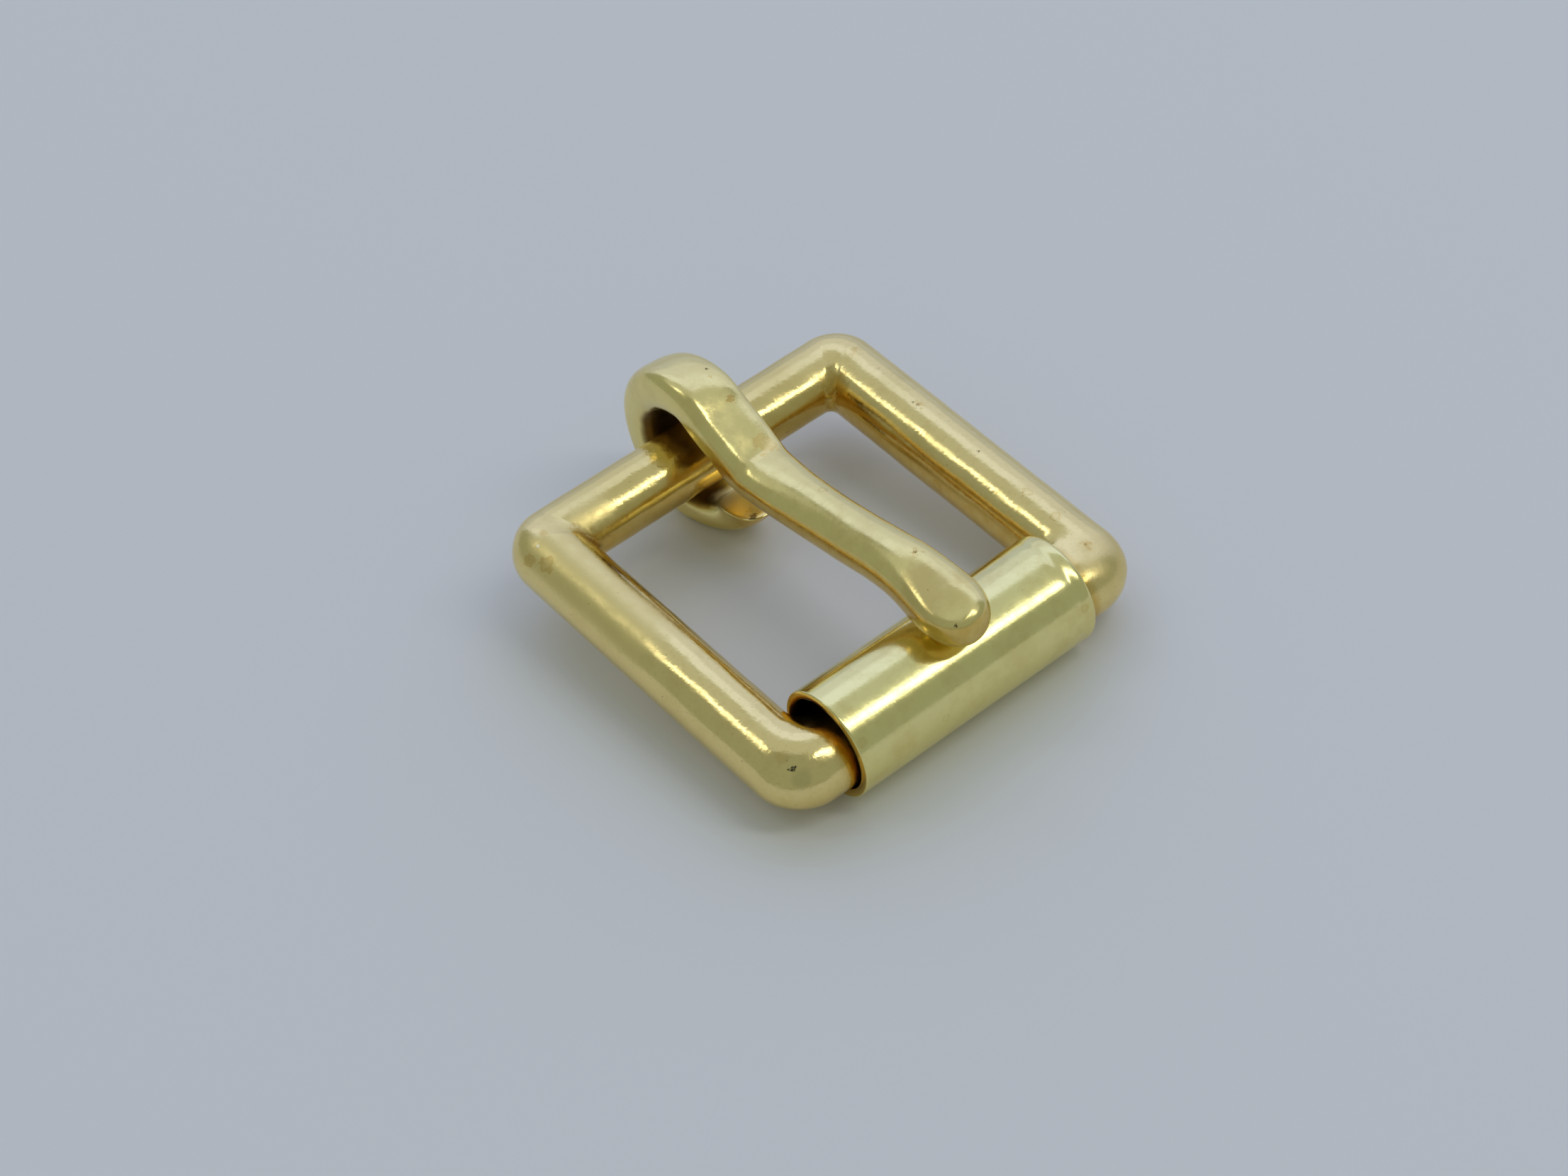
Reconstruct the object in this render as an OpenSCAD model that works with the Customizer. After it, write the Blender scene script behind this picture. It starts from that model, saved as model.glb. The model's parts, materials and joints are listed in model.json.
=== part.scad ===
// Roller buckle: a cast loop, a loose tube roller on its front bar and a
// tongue whose curled end hangs on the back bar. It is modelled as it lies
// by itself on a flat surface, on its roller and on the underside of the curl.

/* [Frame] */
// Clear width between the side bars, which is the strap size
strap_w = 19; // [16:0.5:26]
// Clear length of the window, from the front bar to the back bar
window_l = 19.4; // [17:0.2:26]
// Diameter of the side bars and of the four corners
bar_d = 4.7; // [4:0.1:5.6]
// Diameter at the middle of the back bar, where the tongue hangs
back_d = 4.5; // [3.6:0.1:4.6]
// Diameter at the middle of the front bar, inside the roller
front_d = 4.6; // [3.6:0.1:4.6]
// Radius of the bars' centre line round each corner
corner_bend = 0.95; // [0.5:0.05:1.5]

/* [Roller] */
// Wall of the roller's tube
roller_wall = 0.55; // [0.4:0.05:0.8]
// Free play of the roller on the front bar, on the diameter
roller_play = 1.5; // [1:0.1:2]
// Free play of the roller along the front bar, between the corners
end_play = 0.7; // [0.3:0.05:1.2]
// Gap left at the roller's left end as it lies
left_gap = 0.12; // [0.05:0.01:0.25]
// Radius of the roller's softened outer edges
lip_r = 0.22; // [0.1:0.02:0.3]
// Angle, from straight up towards the back, at which the roller hangs off the bar
roller_lean = 26; // [0:1:40]

/* [Tongue] */
// Width of the tongue at its curl
curl_w = 4.2; // [3.4:0.1:5]
// Width of the tongue's neck, half way along
neck_w = 3.6; // [3:0.1:4.2]
// Width of the tongue's rounded tip
tip_w = 4.35; // [3.4:0.05:5]
// Mean thickness of the curl
curl_t = 2.62; // [2.2:0.02:3]
// How far the curl's outside is set back from its inside, which thickens its back
curl_set = 0.4; // [0.1:0.05:0.6]
// Angle of that set, from straight up towards the back
curl_set_angle = 60; // [30:5:90]
// Thickness of the tongue's neck
neck_t = 2.55; // [2.2:0.05:2.8]
// Thickness of the tongue's tip
tip_t = 3.2; // [2.8:0.05:3.4]
// Free play of the curl round the back bar, on the diameter
curl_play = 2.1; // [1.6:0.1:2.6]
// Angle, from straight up towards the front, at which the curl hangs off the bar
curl_lean = 38; // [20:1:50]
// Angle past the top at which the curl runs out into the arm
arm_angle = 26; // [20:1:32]
// Angle from the top, round the back, to the curl's open end
hook_angle = 238; // [215:1:245]
// Length of the tip past the roller's own axis
tip_over = 2.7; // [2.2:0.1:3.4]
// Place of the curl along the back bar, to the right of the middle
curl_x = 0.5; // [-1:0.1:1]
// Place of the tip along the roller, to the right of the middle
tip_x = 0; // [-1:0.1:1]

/* [Fits] */
// Gap between a bar and the piece that bears on it
bearing_gap = 0.1; // [0.08:0.01:0.16]
// Gap between the tip and the roller that it lies on
tip_gap = 0.06; // [0.04:0.01:0.1]

/* [Hidden] */

frame_colour = [0.82, 0.74, 0.50];
roller_colour = [0.83, 0.81, 0.52];
tongue_colour = [0.76, 0.72, 0.43];

// Smoothness of the round bars and of the tongue's sides and length
round_steps = 96;
side_steps = 24;
curl_steps = 26;
span_steps = 3;
cap_steps = 7;

// Squareness of the tongue's rounded section, and of its tip from above and from the side
section_power = 2.5;
tip_power = 2.3;
nose_power = 2.8;
// Shares of the tip's length at which its rounding starts to show and at which it closes
tip_start = 0.4;
tip_close = 0.997;

bar_r = bar_d / 2;
back_r = back_d / 2;
side_x = strap_w / 2 + bar_r;
front_y = -window_l / 2 - bar_r;
back_y = window_l / 2 + back_r;
turn_x = side_x - corner_bend;

// The roller hangs on the front bar, touching it on one side
roller_bore_r = (front_d + roller_play) / 2;
roller_r = roller_bore_r + roller_wall;
roller_l = strap_w - end_play;
roller_x = -end_play / 2 + left_gap;
roller_off = roller_play / 2 - bearing_gap;
roller_y = front_y + roller_off * sin(roller_lean);
roller_z = roller_off * cos(roller_lean);

// The curl's inside and outside are two circles, set a little apart
curl_in_r = back_r + curl_play / 2;
curl_out_r = curl_in_r + curl_t;
curl_off = curl_play / 2 - bearing_gap;
curl_in = [back_y - curl_off * sin(curl_lean), curl_off * cos(curl_lean)];
curl_out = curl_in + curl_set * [sin(curl_set_angle), cos(curl_set_angle)];
bearing_r = back_r + bearing_gap;

// The buckle tips forward until both its roller and its curl touch the surface
rest_run = curl_out - [roller_y, roller_z];
rest_tilt = asin((curl_out_r - roller_r) / norm(rest_run)) - atan2(rest_run.y, rest_run.x);
rest_lift = roller_r - roller_y * sin(rest_tilt) - roller_z * cos(rest_tilt);
rest_front = roller_y * cos(rest_tilt) - roller_z * sin(rest_tilt) - roller_r;
rest_back = curl_out.x * cos(rest_tilt) - curl_out.y * sin(rest_tilt) + curl_out_r;
rest_shift = -(rest_front + rest_back) / 2;

// The arm runs from the curl to its seat on the roller. Its table has a row for
// each section, and these columns: its share of the run from the back bar to the
// roller, and its shares of the seat's height, the neck's width and thickness
RUN = 0;
HEIGHT = 1;
WIDTH = 2;
THICKNESS = 3;
seat_z = roller_z + roller_r + tip_gap + tip_t / 2;
arm_run = back_y - roller_y;
tip_share_w = tip_w / neck_w;
tip_share_t = tip_t / neck_t;
curl_share_w = curl_w / neck_w;
ARM = [
    [0.210, 0.685, curl_share_w * 0.98, 0.955],
    [0.335, 0.575, curl_share_w * 0.95, 0.935],
    [0.440, 0.620, 1.045, 0.965],
    [0.545, 0.725, 1.0, 0.995],
    [0.667, 0.840, 1.0, 1.01],
    [0.770, 0.945, 1.01, 1.02],
    [0.877, 1.020, lerp(1, tip_share_w, 0.4), lerp(1, tip_share_t, 0.4)],
    [1.000, 1.000, tip_share_w, tip_share_t],
];

// Stations along the tongue, each [y, z, half width, half thickness]
function lerp(a, b, t) = a + (b - a) * t;
function curl_inside(a) = curl_in + curl_in_r * [sin(a), cos(a)];
function curl_outside(a) = curl_out + curl_out_r * [sin(a), cos(a)];
function curl_station(a) =
    let (i = curl_inside(a), o = curl_outside(a), m = (i + o) / 2)
    [m.x, m.y, curl_w / 2, norm(o - i) / 2];
function arm_station(row) = [
    back_y - row[RUN] * arm_run,
    row[HEIGHT] * seat_z,
    row[WIDTH] * neck_w / 2,
    row[THICKNESS] * neck_t / 2,
];
function cap_share(u, power) = pow(1 - pow(u, power), 1 / power);
function cap_station(u) = [
    roller_y - tip_over * u,
    seat_z,
    tip_w / 2 * cap_share(u, tip_power),
    tip_t / 2 * cap_share(u, nose_power),
];

// A smooth curve through four neighbouring stations
function curve(p, t) =
    (2 * p[1] + (p[2] - p[0]) * t + (2 * p[0] - 5 * p[1] + 4 * p[2] - p[3]) * t * t
    + (3 * p[1] - p[0] - 3 * p[2] + p[3]) * t * t * t) / 2;

arm_knots = concat(
    [curl_station(0), curl_station(-arm_angle)],
    [for (row = ARM) arm_station(row)],
    [cap_station(tip_start)]
);
stations = concat(
    [for (i = [0:curl_steps]) curl_station(lerp(hook_angle, -arm_angle, i / curl_steps))],
    [for (k = [0:len(arm_knots) - 4], i = [1:span_steps])
        curve([for (j = [0:3]) arm_knots[k + j]], i / span_steps)],
    [for (i = [1:cap_steps]) cap_station(tip_close * sin(90 * i / cap_steps))]
);

// The tongue's outline round one station, square to its run
function rounded(v) = sign(v) * pow(abs(v), 2 / section_power);
function heading(i) =
    let (a = stations[max(i - 1, 0)], b = stations[min(i + 1, len(stations) - 1)],
        d = [b[0] - a[0], b[1] - a[1]])
    d / norm(d);
function drift_x(y) = lerp(curl_x, tip_x, (back_y - y) / arm_run);
function ring(i) =
    let (s = stations[i], h = heading(i))
    [for (k = [0:side_steps - 1])
        let (a = 360 * k / side_steps, out = s[3] * rounded(sin(a)))
        [drift_x(s[0]) + s[2] * rounded(cos(a)), s[0] + h.y * out, s[1] - h.x * out]];

// Sets a piece down from the buckle's own plane onto the surface
module laid() {
    translate([0, rest_shift, rest_lift]) rotate([rest_tilt, 0, 0]) children();
}

// A bar along X, straight across the window, that swells to meet the corners
module cross_bar(mid_r) {
    rotate([0, 90, 0])
        rotate_extrude($fn = round_steps)
            polygon([
                [0, -turn_x],
                [bar_r, -turn_x],
                [mid_r, -strap_w / 2],
                [mid_r, strap_w / 2],
                [bar_r, turn_x],
                [0, turn_x],
            ]);
}

module side_bar() {
    length = back_y - front_y - 2 * corner_bend;
    translate([0, front_y + corner_bend, 0]) rotate([-90, 0, 0])
        cylinder(r = bar_r, h = length, $fn = round_steps);
}

module corner() {
    rotate_extrude(angle = 90, $fn = round_steps)
        intersection() {
            translate([corner_bend, 0]) circle(r = bar_r, $fn = round_steps);
            translate([0, -bar_r]) square([corner_bend + bar_r, bar_d]);
        }
}

module frame() {
    color(frame_colour) laid() {
        for (side = [-1, 1]) translate([side * side_x, 0, 0]) side_bar();
        translate([0, back_y, 0]) cross_bar(back_r);
        translate([0, front_y, 0]) cross_bar(front_d / 2);
        translate([turn_x, back_y - corner_bend, 0]) corner();
        translate([-turn_x, back_y - corner_bend, 0]) rotate([0, 0, 90]) corner();
        translate([-turn_x, front_y + corner_bend, 0]) rotate([0, 0, 180]) corner();
        translate([turn_x, front_y + corner_bend, 0]) rotate([0, 0, 270]) corner();
    }
}

module roller() {
    wall_mid = roller_l / 2 - lip_r;
    color(roller_colour) laid()
        translate([roller_x, roller_y, roller_z]) rotate([0, 90, 0])
            rotate_extrude($fn = round_steps) {
                translate([roller_bore_r, -wall_mid]) square([roller_wall, 2 * wall_mid]);
                translate([roller_bore_r, -roller_l / 2]) square([roller_wall - lip_r, roller_l]);
                for (end = [-1, 1])
                    translate([roller_r - lip_r, end * wall_mid]) circle(r = lip_r, $fn = round_steps);
            }
}

module tongue() {
    last = len(stations) - 1;
    points = [for (i = [0:last]) each ring(i)];
    walls = [for (i = [0:last - 1], k = [0:side_steps - 1])
        let (a = i * side_steps + k, b = i * side_steps + (k + 1) % side_steps)
        [a, b, b + side_steps, a + side_steps]];
    hook_end = [for (k = [side_steps - 1:-1:0]) k];
    tip_end = [for (k = [0:side_steps - 1]) last * side_steps + k];
    color(tongue_colour) laid() difference() {
        polyhedron(points = points, faces = concat(walls, [hook_end, tip_end]), convexity = 8);
        translate([curl_x, back_y, 0]) rotate([0, 90, 0])
            cylinder(r = bearing_r, h = 2 * curl_w, center = true, $fn = round_steps);
    }
}

frame();
roller();
tongue();
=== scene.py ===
"""Looks of a brass roller buckle: its cast loop, tube roller and bent tongue, on a pale floor."""

from __future__ import annotations

import json
import logging
import math
from dataclasses import dataclass
from enum import Enum
from typing import Optional, Union

import bpy
import numpy as np
from mathutils import Matrix, Vector

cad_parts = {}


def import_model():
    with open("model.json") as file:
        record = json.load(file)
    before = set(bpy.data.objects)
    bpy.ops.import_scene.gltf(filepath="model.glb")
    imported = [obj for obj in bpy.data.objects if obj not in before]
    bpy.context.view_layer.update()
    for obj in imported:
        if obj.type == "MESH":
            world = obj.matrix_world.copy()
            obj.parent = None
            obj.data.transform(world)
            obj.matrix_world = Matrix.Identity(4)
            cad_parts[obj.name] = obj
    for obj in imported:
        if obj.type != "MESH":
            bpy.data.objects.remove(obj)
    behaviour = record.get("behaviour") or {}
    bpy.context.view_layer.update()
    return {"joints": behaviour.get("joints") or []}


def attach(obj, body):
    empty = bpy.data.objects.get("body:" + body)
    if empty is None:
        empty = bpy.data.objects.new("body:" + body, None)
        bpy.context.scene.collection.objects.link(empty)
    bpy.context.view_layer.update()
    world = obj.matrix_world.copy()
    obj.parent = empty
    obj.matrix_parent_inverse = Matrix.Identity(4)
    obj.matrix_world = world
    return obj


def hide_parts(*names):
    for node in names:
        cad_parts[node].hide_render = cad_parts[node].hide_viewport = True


LOG = logging.getLogger("buckle")
MM = 0.001
FULL_TURN = 2 * math.pi
SHORTEST = 1e-12

Colour = tuple[float, float, float]
Spot = tuple[float, float, float]
Span = tuple[float, float]
Amount = Union[float, np.ndarray]
Socket = bpy.types.NodeSocket
Feed = Union[bpy.types.NodeSocket, float, tuple]


class Body(str, Enum):
    """Bodies that the pieces ride on, one for each part that moves."""

    FRAME = "frame"
    ROLLER = "roller"
    TONGUE = "tongue"


class Slot(str, Enum):
    """Names of the record's material slots."""

    FRAME = "frame_brass"
    ROLLER = "roller_brass"
    TONGUE = "tongue_brass"


class Grain(Enum):
    """Which way the fine lines of a polished surface run."""

    NONE = (1.0, 1.0, 1.0)
    ALONG_X = (0.06, 1.0, 1.0)


def mix(a: Amount, b: Amount, share: Amount) -> Amount:
    """Value that lies the given share of the way from a to b."""
    return a + (b - a) * share


def eased(share: float) -> float:
    """A share from 0 to 1, made slow at both ends."""
    return share * share * (3 - 2 * share)


def smooth_between(knots: list[np.ndarray], share: float) -> np.ndarray:
    """Point on a smooth curve through four knots, between the middle two.

    Args:
        knots: The four knots.
        share: How far the point lies from the second knot to the third.

    Returns:
        The point.
    """
    p0, p1, p2, p3 = knots
    bend = (2 * p0 - 5 * p1 + 4 * p2 - p3) * share * share
    bend = bend + (3 * p1 - p0 - 3 * p2 + p3) * share**3
    return (2 * p1 + (p2 - p0) * share + bend) / 2


@dataclass(frozen=True)
class Plan:
    """Sizes that the pieces share, in millimetres, in the buckle's own plane.

    X runs along the front and back bars, Y from the roller to the back bar, and
    Z up out of the plane through the middle of the bars. strap_w is the clear
    width between the side bars, and the rest are the places of the bars' and
    the roller's axes.
    """

    strap_w: float = 19.0
    front_y: float = -12.05
    back_y: float = 11.95
    roller_y: float = -11.765
    roller_z: float = 0.584


@dataclass(frozen=True)
class Lie:
    """How the buckle lies: tipped a little, on its roller and its curl."""

    tilt: float
    back_bar: Span
    plan: Plan

    @classmethod
    def from_joints(cls, joints: list[dict], plan: Plan) -> Lie:
        """Reads the lie from the two axes that the frame's joints give.

        Args:
            joints: The frame's joints, with their places in metres.
            plan: The shared sizes, with the same two axes in the buckle's plane.

        Returns:
            The lie that takes the plane's axes to the joints' axes.
        """
        place = {joint["child"]: np.array(joint["pos_m"]) / MM for joint in joints}
        run = place[Body.TONGUE.value] - place[Body.ROLLER.value]
        flat_run = (plan.back_y - plan.roller_y, -plan.roller_z)
        tilt = math.atan2(run[2], run[1]) - math.atan2(flat_run[1], flat_run[0])
        _, back_y, back_z = place[Body.TONGUE.value]
        return cls(tilt, (back_y, back_z), plan)

    def place(self, points: np.ndarray) -> np.ndarray:
        """Moves points from the buckle's plane to the frame.

        Args:
            points: Points in millimetres, with X, Y and Z last.

        Returns:
            The same points in metres, as the buckle lies.
        """
        c, s = math.cos(self.tilt), math.sin(self.tilt)
        y = points[..., 1] - self.plan.back_y
        z = points[..., 2]
        laid_y = y * c - z * s + self.back_bar[0]
        laid_z = y * s + z * c + self.back_bar[1]
        return np.stack([points[..., 0], laid_y, laid_z], axis=-1) * MM


def unit(vectors: np.ndarray) -> np.ndarray:
    """Vectors scaled to length one."""
    return vectors / np.maximum(np.linalg.norm(vectors, axis=-1, keepdims=True), SHORTEST)


def grid_normals(grid: np.ndarray, wraps: bool) -> np.ndarray:
    """Outward normals of a grid of points whose columns close on themselves.

    Args:
        grid: Rows of rings, with X, Y and Z last.
        wraps: Whether the last row joins the first.

    Returns:
        A unit vector for each point.
    """
    around = np.roll(grid, -1, axis=1) - np.roll(grid, 1, axis=1)
    if wraps:
        along = np.roll(grid, -1, axis=0) - np.roll(grid, 1, axis=0)
    else:
        along = np.gradient(grid, axis=0)
    return unit(np.cross(around, along))


@dataclass(frozen=True)
class Waves:
    """Slow unevenness of a cast or tumbled surface, as a sum of seeded waves.

    height and length are in millimetres, and spread is the range of the single
    waves' lengths as shares of that length.
    """

    height: float
    length: float
    seed: int
    count: int = 9
    spread: Span = (0.7, 1.5)

    def lift(self, points: np.ndarray) -> np.ndarray:
        """Height of the unevenness at each point.

        Args:
            points: Points in millimetres.

        Returns:
            The heights, in millimetres.
        """
        rng = np.random.default_rng(self.seed)
        total = np.zeros(points.shape[:-1])
        for _ in range(self.count):
            way = unit(rng.normal(size=3)) * FULL_TURN / (self.length * rng.uniform(*self.spread))
            total += np.sin(points @ way + rng.uniform(0, FULL_TURN))
        return total * self.height / math.sqrt(self.count)


def rough_up(grid: np.ndarray, wraps: bool, waves: tuple[Waves, ...]) -> np.ndarray:
    """Moves a grid's points along their normals by the waves at them.

    Args:
        grid: Rows of rings of points, in millimetres.
        wraps: Whether the last row joins the first.
        waves: The slow unevenness to add.

    Returns:
        The uneven grid.
    """
    lift = sum((wave.lift(grid) for wave in waves), np.zeros(grid.shape[:-1]))
    return grid + grid_normals(grid, wraps) * lift[..., None]


def skin(name: str, grid: np.ndarray, wraps: bool, lie: Lie) -> bpy.types.Object:
    """Makes a smooth-shaded piece from a grid of points.

    Args:
        name: Name of the piece.
        grid: Rows of rings of points, in millimetres in the buckle's plane.
        wraps: Whether the last row joins the first. If not, both ends are capped.
        lie: How the buckle lies.

    Returns:
        The new object.
    """
    rows, columns, _ = grid.shape
    points = lie.place(grid).reshape(-1, 3)
    row = np.arange(rows if wraps else rows - 1)[:, None] * columns
    next_row = (row + columns) % (rows * columns)
    column = np.arange(columns)[None, :]
    next_column = (column + 1) % columns
    quads = np.stack(
        [row + column, row + next_column, next_row + next_column, next_row + column], axis=-1
    )
    faces = quads.reshape(-1, 4).tolist()
    if not wraps:
        faces.append(list(range(columns - 1, -1, -1)))
        faces.append(list(range((rows - 1) * columns, rows * columns)))
    mesh = bpy.data.meshes.new(name)
    mesh.from_pydata(points.tolist(), [], faces)
    mesh.validate()
    mesh.shade_smooth()
    piece = bpy.data.objects.new(name, mesh)
    bpy.context.scene.collection.objects.link(piece)
    return piece


@dataclass(frozen=True)
class Lumps:
    """Noise with lumps of one size, in millimetres.

    detail is how many finer layers it has and rough how strong they are. A step
    made from it starts where the noise is low and ends where it is high.
    """

    size: float
    detail: float = 3.0
    rough: float = 0.55
    low: float = 0.0
    high: float = 1.0


class NodeTree:
    """A material's nodes, added one at a time in millimetres of the object's own space."""

    def __init__(self, name: str) -> None:
        """Starts an empty material.

        Args:
            name: Name of the material.
        """
        self.material = bpy.data.materials.new(name)
        self.material.use_nodes = True
        self.tree = self.material.node_tree
        self.tree.nodes.clear()
        coords = self.add("ShaderNodeTexCoord", {})
        scaled = self.add(
            "ShaderNodeVectorMath",
            {"operation": "SCALE"},
            Vector=coords.outputs["Object"],
            Scale=1 / MM,
        )
        self.place = scaled.outputs["Vector"]
        self.facing = coords.outputs["Normal"]

    def add(self, kind: str, settings: dict[str, object], **sockets: Feed) -> bpy.types.Node:
        """Adds a node.

        Args:
            kind: The node's type.
            settings: Its properties by name.
            sockets: A value or another node's output for each input. A name that
                starts with in_ gives the input's number, and _ stands for a space.

        Returns:
            The new node.
        """
        node = self.tree.nodes.new(kind)
        for key, value in settings.items():
            setattr(node, key, value)
        for key, value in sockets.items():
            if key.startswith("in_"):
                socket = node.inputs[int(key.removeprefix("in_"))]
            else:
                socket = node.inputs[key.replace("_", " ")]
            if isinstance(value, bpy.types.NodeSocket):
                self.tree.links.new(value, socket)
            else:
                socket.default_value = value
        return node

    def noise(self, lumps: Lumps, where: Optional[Socket] = None) -> Socket:
        """Noise from 0 to 1.

        Args:
            lumps: The size and layers of the noise.
            where: The coordinates, or None for the plain ones.

        Returns:
            The output socket.
        """
        node = self.add(
            "ShaderNodeTexNoise",
            {"noise_dimensions": "3D"},
            Vector=where or self.place,
            Scale=1 / lumps.size,
            Detail=lumps.detail,
            Roughness=lumps.rough,
        )
        return node.outputs["Fac"]

    def ramp(
        self, value: Socket, low: float, high: float, start: float = 0.0, end: float = 1.0
    ) -> Socket:
        """A smooth step of a value.

        Args:
            value: The value.
            low: Where the step starts.
            high: Where it ends.
            start: What it gives before its start.
            end: What it gives after its end.

        Returns:
            The output socket.
        """
        node = self.add(
            "ShaderNodeMapRange",
            {"interpolation_type": "SMOOTHSTEP", "clamp": True},
            Value=value,
            From_Min=low,
            From_Max=high,
            To_Min=start,
            To_Max=end,
        )
        return node.outputs["Result"]

    def step(self, lumps: Lumps, start: float = 0.0, end: float = 1.0) -> Socket:
        """A smooth step of the lumps' noise, from start at its low to end at its high."""
        return self.ramp(self.noise(lumps), lumps.low, lumps.high, start, end)

    def math(self, operation: str, a: Feed, b: Feed = 0.0) -> Socket:
        """One step of arithmetic on two sockets or numbers."""
        return self.add("ShaderNodeMath", {"operation": operation}, in_0=a, in_1=b).outputs[0]

    def blend(self, share: Feed, a: Feed, b: Feed) -> Socket:
        """A colour the given share of the way from a to b."""
        # inputs 6 and 7 and output 2 of this node are its colours
        settings = {"data_type": "RGBA", "clamp_factor": True}
        return self.add("ShaderNodeMix", settings, in_0=share, in_6=a, in_7=b).outputs[2]

    def vector_math(self, operation: str, a: Socket, b: Spot) -> bpy.types.Node:
        """One step of arithmetic on a socket's vector and a fixed one."""
        return self.add("ShaderNodeVectorMath", {"operation": operation}, in_0=a, in_1=b)

    def stretched(self, factors: Spot) -> Socket:
        """Coordinates scaled by a factor on each axis, which draws noise out into lines."""
        return self.vector_math("MULTIPLY", self.place, factors).outputs["Vector"]

    def away_from(self, centre: Spot) -> Socket:
        """Distance in millimetres from a point in the object's space."""
        return self.vector_math("DISTANCE", self.place, centre).outputs["Value"]

    def part(self, vector: Socket, axis: str) -> Socket:
        """One part of a vector, named X, Y or Z."""
        return self.add("ShaderNodeSeparateXYZ", {}, Vector=vector).outputs[axis]

    def along(self, way: Spot) -> Socket:
        """How closely the surface faces a direction, from -1 to 1."""
        return self.vector_math("DOT_PRODUCT", self.facing, way).outputs["Value"]

    def bump(self, height: Socket, rise: float, normal: Optional[Socket] = None) -> Socket:
        """Tilts the surface's normal by a height.

        Args:
            height: The height, from 0 to 1.
            rise: How high 1 is, in millimetres.
            normal: The normal to start from, or None for the surface's own.

        Returns:
            The new normal.
        """
        node = self.add("ShaderNodeBump", {}, Height=height, Distance=rise * MM)
        if normal is not None:
            self.tree.links.new(normal, node.inputs["Normal"])
        return node.outputs["Normal"]

    def finish(self, **sockets: Feed) -> bpy.types.Material:
        """Ends the tree in a metal surface.

        Args:
            sockets: A value or an output for each of the shader's inputs.

        Returns:
            The finished material.
        """
        shader = self.add("ShaderNodeBsdfPrincipled", {}, Metallic=1.0, **sockets)
        out = self.add("ShaderNodeOutputMaterial", {})
        self.tree.links.new(shader.outputs["BSDF"], out.inputs["Surface"])
        return self.material


DIRT = (0.13, 0.08, 0.02)
BLACK_DIRT = (0.05, 0.05, 0.03)
# painted shade inside the tongue's curl
BORE_SHADE_BROWN = (0.17, 0.09, 0.02)
# painted reflection: a dark olive band on the left front corner
PAINTED_DARK_BAND = (0.42, 0.38, 0.15)
AMBER = (0.60, 0.36, 0.06)
# painted shade for the two inner back corners
RIGHT_CORNER_SHADE = (0.50, 0.31, 0.05)
LEFT_CORNER_SHADE = (0.52, 0.33, 0.06)
PALE_AMBER = (0.80, 0.52, 0.14)
LIP_GOLD = (0.75, 0.50, 0.09)
# painted shade: darker amber for the inner and downward-facing walls
PAINTED_WALL_SHADE = (0.68, 0.43, 0.08)
TIP_GOLD = (0.66, 0.50, 0.18)
DULL_GOLD = (0.75, 0.59, 0.20)
WORN = (0.86, 0.69, 0.27)
WORN_CORNER = (0.84, 0.66, 0.26)
# rough cut face of the hook, its tone brightened as painted light
ROUGH_GOLD_PAINTED_LIGHT = (1.0, 0.83, 0.34)
# painted highlight: a small white glint
PAINTED_WHITE_GLINT = (1.0, 0.97, 0.85)


@dataclass(frozen=True)
class StainAndShade:
    """A patch of the surface with a tone or dullness of its own. Some are real stains and marks,
    and some are painted shade, painted light or a painted glint.

    Its centre is in the object's space, and its centre and radius are in
    millimetres. soft is the share of the radius over which it fades, hollow is
    how far its middle stays clean, and ragged is how much noise tears its edge,
    with lumps that are tear times its radius. The clean middle fades over
    hollow_edge, as shares of the radius. With faces, the patch covers only the
    faces that look that way, and fades over facing_edge.
    """

    centre: Spot
    radius: float
    strength: float
    soft: float
    hollow: float = 0.0
    ragged: float = 0.3
    tone: Colour = AMBER
    dull: float = 0.0
    faces: Optional[Spot] = None
    tear: float = 0.7
    hollow_edge: Span = (0.45, 0.7)
    facing_edge: Span = (0.55, 0.85)

    def cover(self, nodes: NodeTree) -> Socket:
        """How strongly the patch covers the surface, from 0 to its strength.

        Args:
            nodes: The material's nodes.

        Returns:
            The output socket.
        """
        lumps = Lumps(self.radius * self.tear, rough=0.6, low=0.25, high=0.75)
        torn = nodes.math("MULTIPLY", nodes.step(lumps, -self.ragged, self.ragged), self.radius)
        away = nodes.math("ADD", nodes.away_from(self.centre), torn)
        share = nodes.ramp(away, self.radius, self.radius * (1 - self.soft), 0.0, self.strength)
        if self.hollow:
            first, last = (self.radius * edge for edge in self.hollow_edge)
            middle = nodes.ramp(away, first, last, 1 - self.hollow, 1.0)
            share = nodes.math("MULTIPLY", share, middle)
        if self.faces:
            facing = nodes.ramp(nodes.along(self.faces), *self.facing_edge)
            share = nodes.math("MULTIPLY", share, facing)
        return share


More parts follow.
